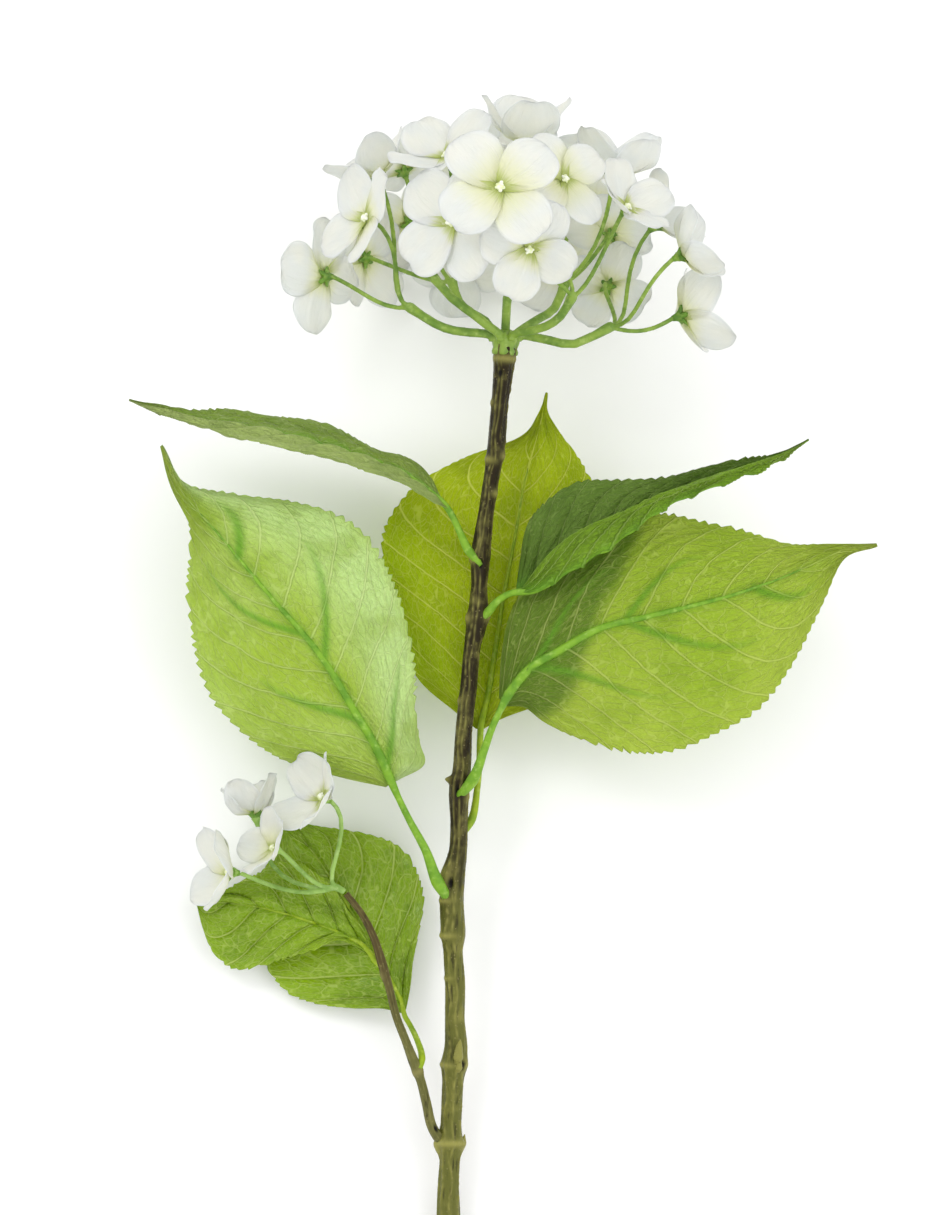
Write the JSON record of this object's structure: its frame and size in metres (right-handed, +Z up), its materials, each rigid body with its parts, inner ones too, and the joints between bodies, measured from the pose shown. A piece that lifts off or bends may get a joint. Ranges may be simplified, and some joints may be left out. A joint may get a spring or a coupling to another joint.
{
  "type": "cut hydrangea",
  "caption": "Cut white mophead hydrangea lying down: knotty woody stem, broad toothed leaves, a domed head of four-petalled florets, and a side shoot with its own leaves and small spray.",
  "frame": {"origin": "centre of the bounding box at the surface the stem lies on", "axes": "+Z up from the surface; +Y along the stem from its cut end to the flower head; +X to the right seen from above with the head at the top"},
  "size_m": [0.2986, 0.4834, 0.1446],
  "materials": {
    "stem": "matte brown bark turning olive green towards the cut end, with ridges and leaf scars",
    "shoot": "matte brown and olive bark",
    "leaf_light": "satin, light yellow-green underside with raised vivid ribs and pale net veins",
    "leaf_vivid": "satin, saturated yellow-green, light showing through",
    "leaf_grey": "satin, soft greyish green with pressed veins",
    "leaf_glossy": "slightly glossy deep green with pressed veins",
    "pedicel": "satin fresh green",
    "petal": "soft matte white, faint yellow-green at the middle, fine pleats"
  },
  "bodies": {
    "root": {"main_stem": "stem", "side_stem": "shoot", "leaf_left_large": "leaf_light", "leaf_right_large": "leaf_light", "leaf_centre_back": "leaf_vivid", "leaf_left_upper": "leaf_grey", "leaf_right_upper": "leaf_grey", "side_leaf_back": "leaf_glossy", "side_leaf_front": "leaf_glossy", "spray_left": "pedicel", "spray_front_left": "pedicel", "spray_front_right": "pedicel", "spray_right": "pedicel", "spray_back_left": "pedicel", "spray_back": "pedicel", "spray_back_right": "pedicel", "spray_centre": "pedicel", "side_spray": "pedicel", "floret_front_upper": "petal", "floret_front_lower": "petal", "floret_front_left": "petal", "floret_front_right": "petal", "floret_upper_left": "petal", "floret_left_front": "petal", "floret_left_back": "petal", "floret_left_upper": "petal", "floret_left_rear": "petal", "floret_top": "petal", "floret_top_right": "petal", "floret_right_front": "petal", "floret_right_upper": "petal", "floret_right_middle": "petal", "floret_right_low": "petal", "floret_inner_right": "petal", "floret_under_right": "petal", "floret_back_left": "petal", "floret_back_right": "petal", "floret_rear_left": "petal", "floret_rear_upper_left": "petal", "floret_rear_middle": "petal", "floret_rear_upper_right": "petal", "floret_crown_left": "petal", "floret_crown_right": "petal", "side_floret_upper": "petal", "side_floret_middle": "petal", "side_floret_outer": "petal", "side_floret_far": "petal"}
  },
  "joints": []
}
